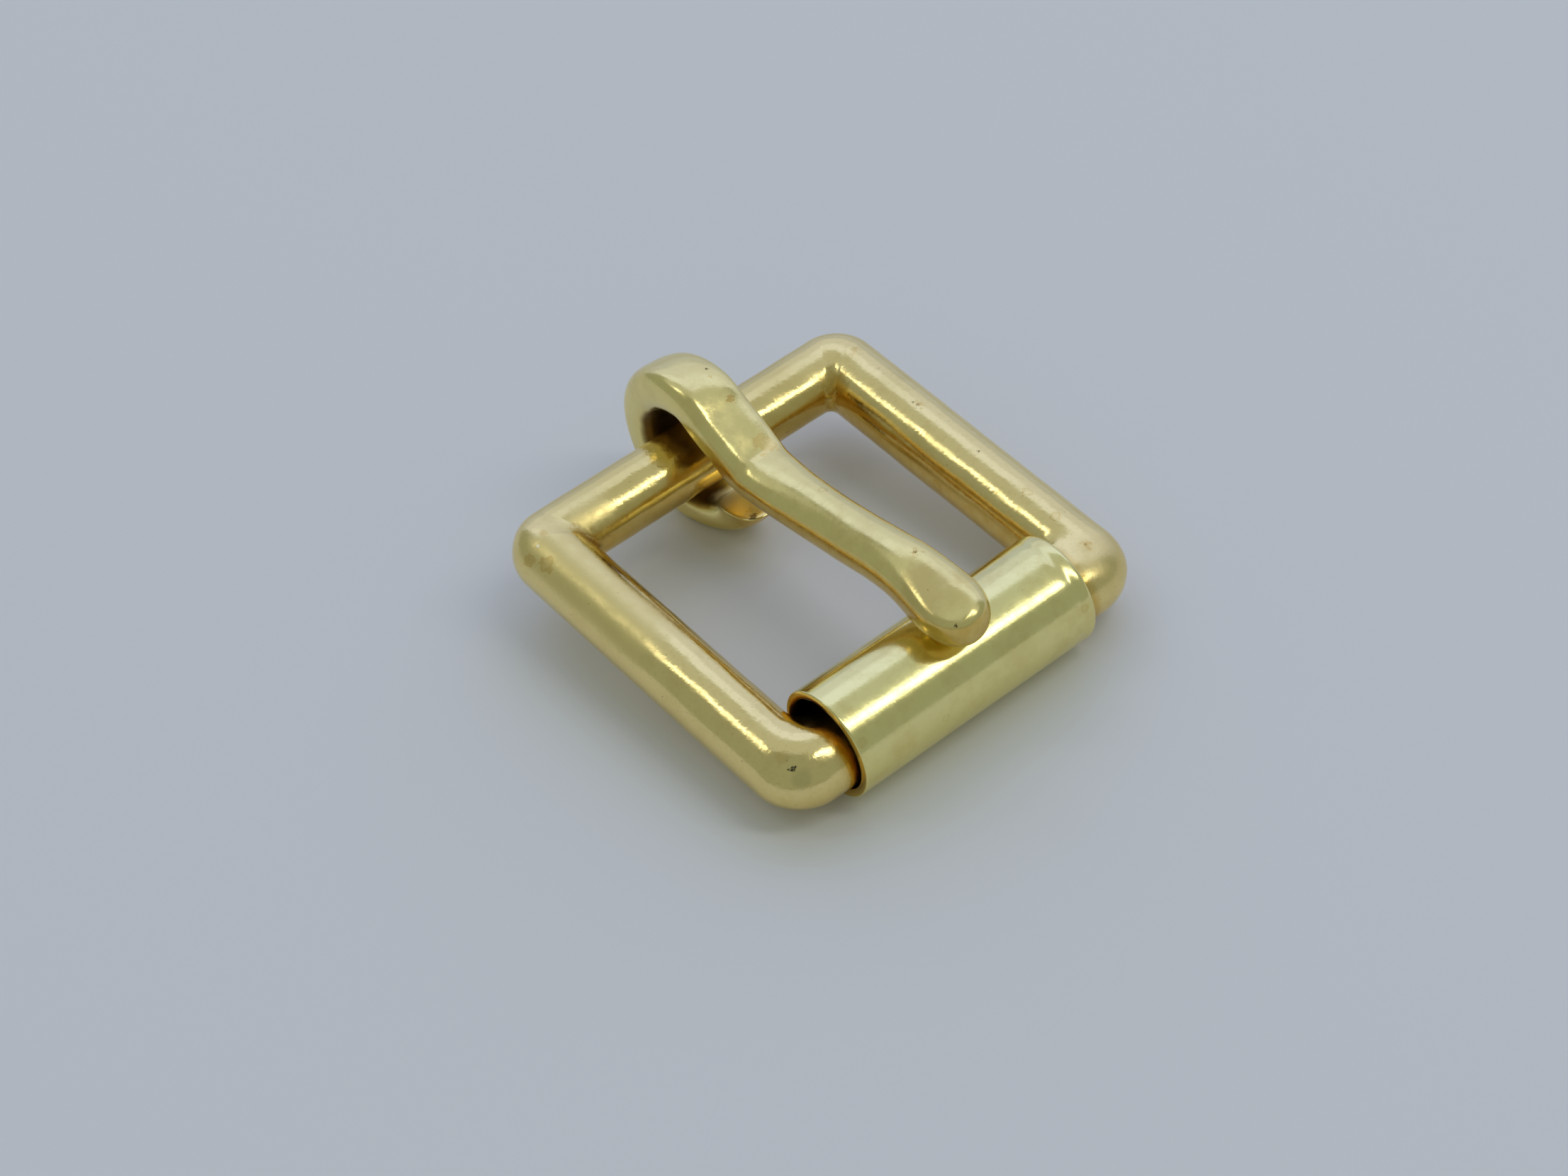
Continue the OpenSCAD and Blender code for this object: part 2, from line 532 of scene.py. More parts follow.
@dataclass(frozen=True)
class PaintedFacingShade:
    """Painted shade: a darker amber laid on walls by where they lie and which way they face.

    Each pair goes from clean to covered: beside is the distance from the middle,
    ahead is the place along Y, and rise is how far the surface faces up. thin is
    the share of its strength that it keeps where its lumps are thinnest.
    """

    tone: Colour
    strength: float
    dull: float
    beside: Optional[Span] = None
    ahead: Optional[Span] = None
    rise: Optional[Span] = None
    lumps: Lumps = Lumps(0.8, 4.0, 0.6, 0.25, 0.75)
    thin: float = 0.6

    def cover(self, nodes: NodeTree) -> Socket:
        """How strongly the painted shade covers the surface, from 0 to its strength.

        Args:
            nodes: The material's nodes.

        Returns:
            The output socket.
        """
        share = nodes.step(self.lumps, self.strength * self.thin, self.strength)
        if self.beside:
            away = nodes.math("ABSOLUTE", nodes.part(nodes.place, "X"))
            share = nodes.math("MULTIPLY", share, nodes.ramp(away, *self.beside))
        if self.ahead:
            place = nodes.ramp(nodes.part(nodes.place, "Y"), *self.ahead)
            share = nodes.math("MULTIPLY", share, place)
        if self.rise:
            facing = nodes.ramp(nodes.part(nodes.facing, "Z"), *self.rise)
            share = nodes.math("MULTIPLY", share, facing)
        return share


@dataclass(frozen=True)
class BrassFinish:
    """Polished brass with slow tarnish, peel, fine lines, pits, stains and patches of painted
    shade and light.

    gloss and dull are its least and most roughness, before the stains add to it.
    Sizes and rises are in millimetres. fleck, patch and pit_dark are how strongly
    the flecks, the patches and the pits colour it, and swell is its slow bump.
    """

    name: str
    base: Colour
    gloss: float
    dull: float
    peel_rise: float
    fleck: float
    peel_size: float = 0.18
    tarnish: Colour = (0.74, 0.58, 0.20)
    dark: Colour = (0.10, 0.07, 0.02)
    pit: float = 0.735
    grain: Grain = Grain.NONE
    grain_rise: float = 0.0006
    stains_and_shade: tuple[Union[StainAndShade, PaintedFacingShade], ...] = ()
    patches: Lumps = Lumps(2.2, 5.0, 0.6, 0.46, 0.70)
    patch: float = 0.45
    clouds: Lumps = Lumps(0.9, 4.0, 0.6, 0.35, 0.72)
    flecks: Lumps = Lumps(0.30, 4.0, 0.6, 0.48, 0.72)
    pits: Lumps = Lumps(0.16, 2.0, 0.5)
    pit_edge: float = 0.06
    pit_dark: float = 0.6
    lines: Lumps = Lumps(0.05, 2.0, 0.5)
    swell: Lumps = Lumps(1.4, 2.0, 0.5)
    swell_rise: float = 0.004

    def material(self) -> bpy.types.Material:
        """Builds the brass.

        Returns:
            The material.
        """
        nodes = NodeTree(self.name)
        tarnish = (*self.tarnish, 1)
        patches = nodes.math("MULTIPLY", nodes.step(self.patches), self.patch)
        flecks = nodes.math("MULTIPLY", nodes.step(self.flecks), self.fleck)
        colour = nodes.blend(patches, (*self.base, 1), tarnish)
        colour = nodes.blend(flecks, colour, tarnish)
        roughness = nodes.step(self.clouds, self.gloss, self.dull)
        # these patches are real marks together with painted shade, painted light and a painted
        # glint
        for mark in self.stains_and_shade:
            cover = mark.cover(nodes)
            colour = nodes.blend(cover, colour, (*mark.tone, 1))
            if mark.dull:
                added = nodes.math("MULTIPLY", cover, mark.dull)
                roughness = nodes.math("ADD", roughness, added)
        pits = nodes.ramp(nodes.noise(self.pits), self.pit, self.pit + self.pit_edge)
        colour = nodes.blend(nodes.math("MULTIPLY", pits, self.pit_dark), colour, (*self.dark, 1))
        lines = nodes.noise(self.lines, nodes.stretched(self.grain.value))
        normal = nodes.bump(nodes.noise(self.swell), self.swell_rise)
        normal = nodes.bump(nodes.noise(Lumps(self.peel_size)), self.peel_rise, normal)
        normal = nodes.bump(lines, self.grain_rise, normal)
        return nodes.finish(Base_Color=colour, Roughness=roughness, Normal=normal)


UP_LEFT = (-0.35, -0.1, 0.93)
UP_FRONT = (0, -0.5, 0.87)
UP_BACK = (0, 0.37, 0.93)

LOOP_STAINS_AND_SHADE = (
    # inner sides of the two side bars: painted shade, a darker amber for the shaded window's
    # reflection, a little duller
    PaintedFacingShade(PAINTED_WALL_SHADE, 0.85, 0.04, beside=(10.4, 9.7), ahead=(9.4, 8.7)),
    # top of the back bar, on both sides of the tongue
    StainAndShade((-6.5, 12.6, 7.6), 6.5, 0.75, 0.8, ragged=0.2, tone=DULL_GOLD),
    StainAndShade((6.0, 12.6, 7.6), 6.5, 0.75, 0.8, ragged=0.2, tone=DULL_GOLD),
    # worn top of the left bar, and the fold where it meets the back bar
    StainAndShade((-12.8, 4.2, 6.7), 8.4, 0.95, 0.5, ragged=0.15, tone=WORN, dull=0.24, faces=UP_LEFT),
    StainAndShade((-8.8, 9.6, 6.8), 2.4, 0.8, 0.8, ragged=0.2, tone=WORN, dull=0.16, faces=UP_FRONT),
    # painted shade in the two inner back corners: darker amber, a little duller
    StainAndShade((9.9, 8.5, 5.5), 1.6, 0.70, 0.7, ragged=0.5, tone=RIGHT_CORNER_SHADE, dull=0.15),
    StainAndShade((-9.8, 8.5, 5.6), 1.4, 0.60, 0.7, ragged=0.5, tone=LEFT_CORNER_SHADE, dull=0.15),
    # inner side of the right bar
    StainAndShade((9.55, -1.5, 4.0), 0.50, 0.6, 0.3, 0.5),
    # outer left back corner: a painted white glint, and darker marks
    StainAndShade((-12.98, 9.55, 6.93), 0.10, 0.9, 0.4, ragged=0.5, tone=PAINTED_WHITE_GLINT),
    StainAndShade((-13.8, 9.5, 6.26), 0.55, 0.6, 0.5, 0.3),
    StainAndShade((-13.4, 8.24, 6.56), 0.60, 0.5, 0.3, 0.5),
    StainAndShade((-12.2, 10.0, 7.1), 0.35, 0.4, 0.5),
    # marks and specks along the top of the right bar
    StainAndShade((11.78, -7.29, 5.79), 0.42, 0.35, 0.3, 0.8),
    StainAndShade((11.68, -9.9, 5.58), 0.42, 0.35, 0.3, 0.8),
    StainAndShade((11.34, -12.87, 5.33), 0.5, 0.35, 0.4, 0.5),
    StainAndShade((11.86, 2.77, 6.65), 0.34, 0.40, 0.7, ragged=0.9),
    StainAndShade((11.86, 2.77, 6.65), 0.12, 0.7, 0.5, ragged=1.0, tone=DIRT),
    StainAndShade((11.80, 3.10, 6.68), 0.10, 0.7, 0.5, ragged=1.0, tone=DIRT),
    StainAndShade((11.95, -2.76, 6.17), 0.10, 0.9, 0.5, ragged=0.8, tone=DIRT),
    StainAndShade((12.16, 9.03, 7.12), 0.45, 0.3, 0.8, ragged=0.9),
    # painted shade in the folds of the two inner back corners, a little duller too
    StainAndShade((10.05, 8.95, 6.35), 0.75, 0.45, 0.7, ragged=0.6, dull=0.1),
    StainAndShade((-10.2, 9.1, 6.55), 0.70, 0.40, 0.7, ragged=0.6, dull=0.1),
    # pits, and a painted dark reflection band, on the left front corner
    StainAndShade((-12.63, -13.75, 4.71), 0.16, 0.95, 0.4, ragged=0.7, tone=BLACK_DIRT),
    StainAndShade((-12.44, -13.80, 4.77), 0.11, 0.95, 0.4, ragged=0.7, tone=BLACK_DIRT),
    StainAndShade((-12.80, -13.62, 4.72), 0.08, 0.95, 0.4, ragged=0.5, tone=BLACK_DIRT),
    StainAndShade((-12.50, -14.40, 4.30), 0.80, 0.28, 0.6, ragged=0.1, tone=PAINTED_DARK_BAND),
    # worn right front corner and its specks
    StainAndShade((11.9, -14.2, 4.9), 2.6, 0.9, 0.5, ragged=0.2, tone=WORN_CORNER, dull=0.18),
    StainAndShade((11.5, -12.9, 5.4), 0.45, 0.5, 0.8, ragged=0.6),
    StainAndShade((11.52, -12.8, 5.42), 0.12, 0.9, 0.5, ragged=0.7, tone=DIRT),
    StainAndShade((11.30, -13.1, 5.38), 0.08, 0.9, 0.5, ragged=0.7, tone=DIRT),
    # left bar, behind its front corner
    StainAndShade((-12.60, -12.95, 5.2), 0.55, 0.25, 0.5, 0.3, 0.1),
)
ROLLER_STAINS = (
    # left rim
    StainAndShade((-12.9, -12.84, 3.6), 5.03, 0.80, 0.01, ragged=0.0, tone=LIP_GOLD),
    # three faint marks
    StainAndShade((8.1, -16.26, 4.72), 0.34, 0.35, 0.4, 0.6, 0.12),
    StainAndShade((-8.95, -15.77, 5.7), 0.42, 0.25, 0.5, 0.3, 0.15),
    StainAndShade((-3.2, -16.4, 3.9), 0.34, 0.20, 0.4, 0.7, 0.15),
)
TONGUE_STAINS_AND_SHADE = (
    # steep and downward-facing sides of the arm: painted shade, a darker amber for the reflection
    # of the shade beneath
    PaintedFacingShade(PAINTED_WALL_SHADE, 0.8, 0.04, ahead=(7.5, 6.0), rise=(0.62, 0.35)),
    # inside of the curl: painted shade, dark brown in the hollow, and rougher
    StainAndShade((0.0, 10.4, 5.6), 4.2, 0.95, 0.12, ragged=0.03, tone=BORE_SHADE_BROWN, dull=0.22),
    # cut end of the hook: a rougher face, its tone brightened as painted light where it lies in
    # shade, and a dark spot
    StainAndShade((1.0, 6.7, 3.1), 3.4, 0.95, 0.2, ragged=0.1, tone=ROUGH_GOLD_PAINTED_LIGHT, dull=0.12, faces=UP_BACK),
    StainAndShade((0.3, 5.6, 3.2), 0.5, 0.8, 0.5, ragged=0.5, tone=DIRT, faces=UP_BACK),
    # marks on the curl and the arm
    StainAndShade((1.30, 4.45, 9.3), 0.85, 0.55, 0.35, 0.35, 0.5, tone=PALE_AMBER),
    StainAndShade((1.35, 7.82, 10.77), 0.30, 0.6, 0.4, ragged=0.7),
    StainAndShade((1.52, 10.24, 11.61), 0.12, 0.9, 0.4, ragged=0.8, tone=DIRT),
    StainAndShade((1.30, 9.60, 11.50), 0.20, 0.4, 0.6, ragged=0.8),
    StainAndShade((0.79, -1.40, 9.58), 0.36, 0.30, 0.3, 0.8),
    StainAndShade((0.42, -10.35, 10.79), 0.38, 0.50, 0.8, ragged=1.0),
    StainAndShade((0.38, -10.38, 10.79), 0.14, 0.7, 0.6, ragged=1.0, tone=DIRT),
    # the tip and its worn flat
    StainAndShade((-1.27, -15.64, 9.62), 0.13, 0.9, 0.4, ragged=0.7, tone=DIRT),
    StainAndShade((-1.05, -12.5, 10.35), 2.4, 0.55, 0.6, ragged=0.2, tone=TIP_GOLD),
    StainAndShade((1.2, -13.6, 10.3), 1.1, 0.20, 0.8, ragged=0.4),
)


# share of a full turn at which each corner starts, by the signs of its X and Y
CORNER_STARTS = {(1, -1): -0.25, (1, 1): 0.0, (-1, 1): 0.25, (-1, -1): 0.5}


@dataclass
class Loop:
    """The cast loop, with its four bars and their rounded corners.

    half is half a bar's width in the plane, and rise is half its thickness. A
    corner's radius grows from the inner one to the outer one across the bar, and
    valley is how late it grows at the back, where a fold runs down inside.
    """

    plan: Plan
    lie: Lie
    inner_corner: float = 0.6
    front_inner: float = 1.3
    outer_corner: float = 3.32
    side_half: float = 2.37
    front_half: float = 2.35
    back_half: float = 2.31
    side_rise: float = 2.31
    front_rise: float = 2.32
    back_rise: float = 2.10
    valley: float = 2.4
    front_valley: float = 1.0
    corner_steps: int = 60
    side_steps: int = 160
    around: int = 112
    waves: tuple[Waves, ...] = (Waves(0.012, 8.0, 11), Waves(0.007, 2.4, 12))
    finish: BrassFinish = BrassFinish(
        "cast brass",
        base=(0.90, 0.72, 0.29),
        gloss=0.11,
        dull=0.21,
        peel_size=0.30,
        peel_rise=0.0095,
        fleck=0.30,
        pit=0.71,
        stains_and_shade=LOOP_STAINS_AND_SHADE,
    )

    def corner(self, x_sign: int, y_sign: int) -> np.ndarray:
        """Rings round one corner, in the direction of growing angle.

        Args:
            x_sign: 1 for a right corner and -1 for a left one.
            y_sign: 1 for a back corner and -1 for a front one.

        Returns:
            Rows of rings of points, in millimetres.
        """
        front = y_sign < 0
        half = self.front_half if front else self.back_half
        inner = self.front_inner if front else self.inner_corner
        valley = self.front_valley if front else self.valley
        rises = (self.front_rise if front else self.back_rise, self.side_rise)
        if x_sign == y_sign:
            rises = rises[::-1]
        turns = np.linspace(FULL_TURN, 0, self.around, endpoint=False)
        out = (np.cos(turns) + 1) / 2
        radius = mix(inner, self.outer_corner, out**valley)
        inner_y = abs(self.plan.front_y if front else self.plan.back_y) - half
        centre_x = x_sign * (self.plan.strap_w / 2 + 2 * self.side_half * out - radius)
        centre_y = y_sign * (inner_y + 2 * half * out - radius)
        rings = []
        for share in np.linspace(0, 1, self.corner_steps + 1):
            angle = (CORNER_STARTS[x_sign, y_sign] + share / 4) * FULL_TURN
            x = centre_x + radius * math.cos(angle)
            y = centre_y + radius * math.sin(angle)
            rings.append(np.stack([x, y, mix(*rises, share) * np.sin(turns)], axis=-1))
        return np.array(rings)

    def grid(self) -> np.ndarray:
        """Makes the points of the loop's surface: its corners, joined by straight bars.

        Returns:
            Rows of rings of points, in millimetres.
        """
        corners = [self.corner(*signs) for signs in CORNER_STARTS]
        shares = np.linspace(0, 1, self.side_steps + 1)[1:-1, None, None]
        rows = []
        for corner, ahead in zip(corners, corners[1:] + corners[:1]):
            rows += [corner, mix(corner[-1], ahead[0], shares)]
        return np.concatenate(rows)

    def build(self) -> bpy.types.Object:
        """Makes the loop in place of its CAD solid.

        Returns:
            The new piece.
        """
        grid = rough_up(self.grid(), True, self.waves)
        piece = skin("loop", grid, True, self.lie)
        piece.data.materials.append(self.finish.material())
        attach(piece, Body.FRAME.value)
        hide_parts("frame")
        return piece


@dataclass
class TubeRoller:
    """The loose tube on the front bar, cut flat on the left and rolled on the right.

    The lips are the radii of its outer edges and rim is the bevel of its inner
    ones. The groove is a shallow dip, groove_in from the right end.
    """

    plan: Plan
    lie: Lie
    outer_r: float = 3.6
    wall: float = 0.55
    left_x: float = -9.38
    right_x: float = 8.92
    left_lip: float = 0.10
    right_lip: float = 0.30
    rim: float = 0.06
    groove: float = 0.030
    groove_in: float = 0.95
    groove_w: float = 0.30
    lip_steps: int = 8
    length_steps: int = 220
    bore_steps: int = 24
    around: int = 240
    waves: tuple[Waves, ...] = (Waves(0.004, 7.0, 21),)
    finish: BrassFinish = BrassFinish(
        "tube brass",
        base=(0.90, 0.80, 0.33),
        gloss=0.13,
        dull=0.20,
        peel_rise=0.0032,
        fleck=0.08,
        grain=Grain.ALONG_X,
        grain_rise=0.0010,
        stains_and_shade=ROLLER_STAINS,
    )

    def lip(self, end_x: float, radius: float, way: int) -> list[Span]:
        """Rounded outer edge at one end of the tube.

        Args:
            end_x: Where the tube ends.
            radius: Radius of the edge.
            way: 1 for the right end and -1 for the left one.

        Returns:
            An X and a radius for each point, from the top to the end.
        """
        arc = []
        for step in range(self.lip_steps + 1):
            turn = FULL_TURN / 4 * step / self.lip_steps
            x = end_x - way * radius * (1 - math.sin(turn))
            arc.append((x, self.outer_r - radius * (1 - math.cos(turn))))
        return arc

    def profile(self) -> list[Span]:
        """Outline of the tube's wall, with its shallow groove by the right end.

        Returns:
            An X and a radius for each point, once round the wall.
        """
        inner_r = self.outer_r - self.wall
        left = self.lip(self.left_x, self.left_lip, -1)
        right = self.lip(self.right_x, self.right_lip, 1)
        start, end = left[0][0], right[0][0]
        top = []
        for step in range(1, self.length_steps):
            x = mix(start, end, step / self.length_steps)
            away = (self.right_x - self.groove_in - x) / self.groove_w
            top.append((x, self.outer_r - self.groove * math.exp(-away * away)))
        right_face = [(self.right_x, inner_r + self.rim), (self.right_x - self.rim, inner_r)]
        left_face = [(self.left_x + self.rim, inner_r), (self.left_x, inner_r + self.rim)]
        bore = [
            (mix(self.right_x, self.left_x, step / self.bore_steps), inner_r)
            for step in range(1, self.bore_steps)
        ]
        return left[::-1] + top + right + right_face + bore + left_face

    def grid(self) -> np.ndarray:
        """Makes the points of the tube's surface, a ring for each point of the wall.

        Returns:
            Rows of rings of points, in millimetres.
        """
        turns = np.linspace(0, FULL_TURN, self.around, endpoint=False)
        rings = []
        for x, radius in self.profile():
            y = self.plan.roller_y + radius * np.cos(turns)
            z = self.plan.roller_z + radius * np.sin(turns)
            rings.append(np.stack([np.full_like(turns, x), y, z], axis=-1))
        return np.array(rings)

    def build(self) -> bpy.types.Object:
        """Makes the roller in place of its CAD solid.

        Returns:
            The new piece.
        """
        grid = rough_up(self.grid(), True, self.waves)
        piece = skin("roller_tube", grid, True, self.lie)
        piece.data.materials.append(self.finish.material())
        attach(piece, Body.ROLLER.value)
        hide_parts("roller")
        return piece


@dataclass(frozen=True)
class ArmSection:
    """One section of the tongue's arm, as shares of the named sizes.

    run counts from the back bar to the roller, height is a share of the tip's
    seat, and width and thickness are shares of the neck's. ridge says how far
    the top's ridge lies to the right, as a share of the half width, left and
    right are how square the two shoulders are, and roll is how many degrees the
    section leans to the left.
    """

    run: float
    height: float
    width: float
    thickness: float
    ridge: float = 0.14
    left: float = 2.0
    right: float = 2.1
    roll: float = 9.0


ARM_SECTIONS = (
    ArmSection(0.027, 0.915, 1.167, 0.920, -0.45, 2.4, 4.0, -3.0),
    ArmSection(0.100, 0.800, 1.167, 0.885, -0.44, 2.6, 4.4, -1.0),
    ArmSection(0.171, 0.693, 1.163, 0.875, -0.43, 2.6, 4.4, 0.0),
    ArmSection(0.235, 0.590, 1.150, 0.880, -0.40, 2.5, 4.2, 0.0),
    ArmSection(0.275, 0.565, 1.130, 0.890, -0.25, 2.1, 3.2, 1.0),
    ArmSection(0.324, 0.582, 1.090, 0.920, 0.00, 2.1, 2.7, 3.0),
    ArmSection(0.390, 0.617, 1.050, 0.950, 0.10, 2.0, 2.3, 6.0),
    ArmSection(0.452, 0.659, 1.020, 0.970),
    ArmSection(0.545, 0.728, 0.990, 1.000),
    ArmSection(0.667, 0.840, 0.990, 1.010),
    ArmSection(0.770, 0.945, 1.000, 1.010),
    ArmSection(0.877, 1.020, 1.070, 1.030, 0.10, 2.2, 2.2, 10.0),
    ArmSection(1.000, 1.000, 1.208, 1.067, -0.20, 2.9, 2.3, 12.0),
)


@dataclass(frozen=True)
class Facet:
    """A flat worn on a rounded surface.

    spot is a point on it, left and front are how many degrees its face leans
    that way, and blend is the width, in millimetres, over which the flat rounds
    into the surface.
    """

    spot: Spot
    left: float
    front: float
    blend: float

    def press(self, grid: np.ndarray) -> np.ndarray:
        """Presses down the points that stand above the flat.

        Args:
            grid: Points in millimetres.

        Returns:
            The points with the flat worn into them.
        """
        left, front = (math.tan(math.radians(lean)) for lean in (self.left, self.front))
        way = unit(np.array([-left, -front, 1.0]))
        above = (grid - np.array(self.spot)) @ way / self.blend
        depth = self.blend * np.logaddexp(0, above)
        return grid - depth[..., None] * way


# rings of the hook's cut from its middle out: their scale, and their share of its edge's height
CUT_RINGS = (
    (0.03, 1.0),
    (0.30, 1.0),
    (0.55, 1.0),
    (0.78, 1.0),
    (0.91, 0.97),
    (0.965, 0.75),
    (0.99, 0.4),
)


@dataclass
class Tongue:
    """The bent tongue: an open curl round the back bar, an arm and a rounded tip.

    The curl lies between two circles, whose centres are shifted in Y and Z from
    the back bar's axis. Its angles start at its top and grow towards the hook's
    end, over whose taper the hook gets narrower, moves aside and is cut at a
    slant. Powers and shoulders are how square a section is, under is its lower
    side, and rolls are in degrees. The eased stretch, counted in stations, runs
    from before the curl's end to after the arm's.
    """

    plan: Plan
    lie: Lie
    curl_w: float = 4.2
    neck_w: float = 3.6
    tip_w: float = 4.35
    neck_t: float = 3.0
    tip_t: float = 3.2
    inner_r: float = 3.3
    outer_r: float = 5.92
    inner_shift: Span = (-0.585, 0.749)
    outer_shift: Span = (-0.238, 0.949)
    hook_turn: float = math.radians(229)
    leave_turn: float = math.radians(24)
    lean_turn: float = math.radians(120)
    hook_taper: float = math.radians(75)
    hook_narrow: float = 0.30
    hook_aside: float = 0.70
    hook_slant: float = 1.60
    hook_edge: float = 0.12
    tip_over: float = 2.92
    seat_z: float = 5.844
    curl_x: float = 0.5
    tip_x: float = 0.0
    under_power: float = 2.2
    curl_under: float = 3.0
    curl_power: float = 2.9
    curl_ridge: float = -0.35
    curl_roll: float = -5.0
    ridge_power: float = 0.5
    ease_passes: int = 14
    ease_before: int = 20
    ease_after: int = 6
    tip_power: float = 2.3
    nose_power: float = 3.3
    tip_ridge: float = -0.20
    tip_shoulder: float = 2.9
    tip_roll: float = 12.0
    tip_start: float = 0.4
    tip_end: float = 0.9995
    curl_steps: int = 170
    span_steps: int = 26
    cap_steps: int = 60
    around: int = 128
    tip_flat: Facet = Facet((-0.60, -12.5, 7.25), 13.5, 6.5, 0.070)
    waves: tuple[Waves, ...] = (Waves(0.006, 5.0, 31), Waves(0.0015, 2.0, 32))
    finish: BrassFinish = BrassFinish(
        "tongue brass",
        base=(0.90, 0.75, 0.29),
        gloss=0.15,
        dull=0.27,
        peel_rise=0.0050,
        fleck=0.15,
        stains_and_shade=TONGUE_STAINS_AND_SHADE,
    )

    def curl_station(self, turn: float) -> np.ndarray:
        """Station on the curl, at an angle from its top.

        Args:
            turn: The angle, growing towards the hook.

        Returns:
            Y, Z, half width, half thickness, ridge shift, the powers of the
            left, right and lower shoulders, the roll in degrees, the shift to
            the right, and how far the section is slanted.
        """
        way = np.array([math.sin(turn), math.cos(turn)])
        axis = np.array([self.plan.back_y, 0.0])
        inner = axis + np.array(self.inner_shift) + self.inner_r * way
        outer = axis + np.array(self.outer_shift) + self.outer_r * way
        middle = (inner + outer) / 2
        thick = np.linalg.norm(outer - inner)
        end = eased(float(np.clip(1 - (self.hook_turn - turn) / self.hook_taper, 0, 1)))
        width = self.curl_w * (1 - self.hook_narrow * end)
        lean = np.clip(1 - turn / self.lean_turn, 0, 1)
        ridge, roll = self.curl_ridge * lean, self.curl_roll * lean
        powers = (self.curl_power, self.curl_power, self.curl_under)
        hook = (self.hook_aside * end, self.hook_slant * end)
        return np.array([*middle, width / 2, thick / 2, ridge, *powers, roll, *hook])

    def arm_station(self, section: ArmSection) -> np.ndarray:
        """Station on the arm.

        Args:
            section: The section's shares.

        Returns:
            The same row of values as on the curl.
        """
        y = self.plan.back_y - section.run * (self.plan.back_y - self.plan.roller_y)
        z = section.height * self.seat_z
        half_w = section.width * self.neck_w / 2
        half_t = section.thickness * self.neck_t / 2
        powers = (section.left, section.right, self.under_power)
        return np.array([y, z, half_w, half_t, section.ridge, *powers, section.roll, 0, 0])

    def cap_station(self, share: float) -> np.ndarray:
        """Station on the rounded tip.

        Args:
            share: How far along the tip the station lies.

        Returns:
            The same row of values as on the curl.
        """
        y = self.plan.roller_y - self.tip_over * share
        half_w = self.tip_w / 2 * (1 - share**self.tip_power) ** (1 / self.tip_power)
        half_t = self.tip_t / 2 * (1 - share**self.nose_power) ** (1 / self.nose_power)
        powers = (self.tip_shoulder, self.tip_power, self.under_power)
        form = (half_w, half_t, self.tip_ridge, *powers, self.tip_roll)
        return np.array([y, self.seat_z, *form, 0, 0])

    def stations(self) -> np.ndarray:
        """All stations from the hook's end to the tip, eased from the curl's end on.

        Returns:
            A row of values for each station.
        """
        curl = [
            self.curl_station(mix(self.hook_turn, self.leave_turn, step / self.curl_steps))
            for step in range(self.curl_steps + 1)
        ]
        knots = [self.curl_station(2 * self.leave_turn), self.curl_station(self.leave_turn)]
        knots += [self.arm_station(section) for section in ARM_SECTIONS]
        knots.append(self.cap_station(self.tip_start))
        arm = [
            smooth_between(knots[k : k + 4], step / self.span_steps)
            for k in range(len(knots) - 3)
            for step in range(1, self.span_steps + 1)
        ]
        cap = [
            self.cap_station(self.tip_end * math.sin(FULL_TURN / 4 * step / self.cap_steps))
            for step in range(1, self.cap_steps + 1)
        ]
        stations = np.array(curl + arm + cap)
        first = len(curl) - self.ease_before
        last = len(curl) + len(arm) + self.ease_after
        for _ in range(self.ease_passes):
            beside = (stations[first - 1 : last - 1] + stations[first + 1 : last + 1]) / 2
            stations[first:last] = (stations[first:last] + beside) / 2
        return stations

    def grid(self) -> np.ndarray:
        """Makes the points of the tongue's surface, a rounded ring for each station.

        Returns:
            Rows of rings of points, in millimetres.
        """
        stations = self.stations()
        columns = [stations[:, k : k + 1] for k in range(stations.shape[1])]
        y, z, half_w, half_t, ridge, left, right, under, roll, aside, slant = columns
        heading = unit(np.gradient(stations[:, :2], axis=0))
        turns = np.linspace(0, FULL_TURN, self.around, endpoint=False)[None]
        c, s = np.cos(turns), np.sin(turns)
        power = np.where(s < 0, under, np.where(c < 0, left, right))
        across = np.sign(c) * np.abs(c) ** (2 / power)
        out = np.sign(s) * np.abs(s) ** (2 / power)
        run = self.plan.back_y - self.plan.roller_y
        middle_x = mix(self.curl_x, self.tip_x, (self.plan.back_y - y) / run) + aside
        shift = ridge * half_w * np.maximum(out, 0) ** self.ridge_power * (1 - np.abs(across))
        side, rise = half_w * across + shift, half_t * out
        c, s = np.cos(np.radians(roll)), np.sin(np.radians(roll))
        side, rise = side * c - rise * s, side * s + rise * c
        ahead_y, ahead_z = heading[:, :1], heading[:, 1:]
        y = y + (ahead_z - ahead_y * slant) * rise
        z = z - (ahead_y + ahead_z * slant) * rise
        rows = np.stack([middle_x + side, y, z], axis=-1)
        return np.concatenate([self.cut_end(rows), rows])

    def cut_end(self, rows: np.ndarray) -> np.ndarray:
        """Rings that close the hook with a flat cut and a small rounded edge.

        Args:
            rows: The tongue's rings, from the hook to the tip.

        Returns:
            The rings of the cut, from its middle out.
        """
        middle = rows[0].mean(axis=0)
        across = rows[0] - middle
        out = unit(np.cross(across[0], across[len(across) // 4]))
        out = out * np.sign(out @ (middle - rows[1].mean(axis=0)))
        rings = [
            middle + across * scale + out * self.hook_edge * rise for scale, rise in CUT_RINGS
        ]
        return np.array(rings)

    def build(self) -> bpy.types.Object:
        """Makes the tongue in place of its CAD solid.

        Returns:
            The new piece.
        """
        grid = rough_up(self.tip_flat.press(self.grid()), False, self.waves)
        piece = skin("tongue_bar", grid, False, self.lie)
        piece.data.materials.append(self.finish.material())
        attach(piece, Body.TONGUE.value)
        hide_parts("tongue")
        return piece


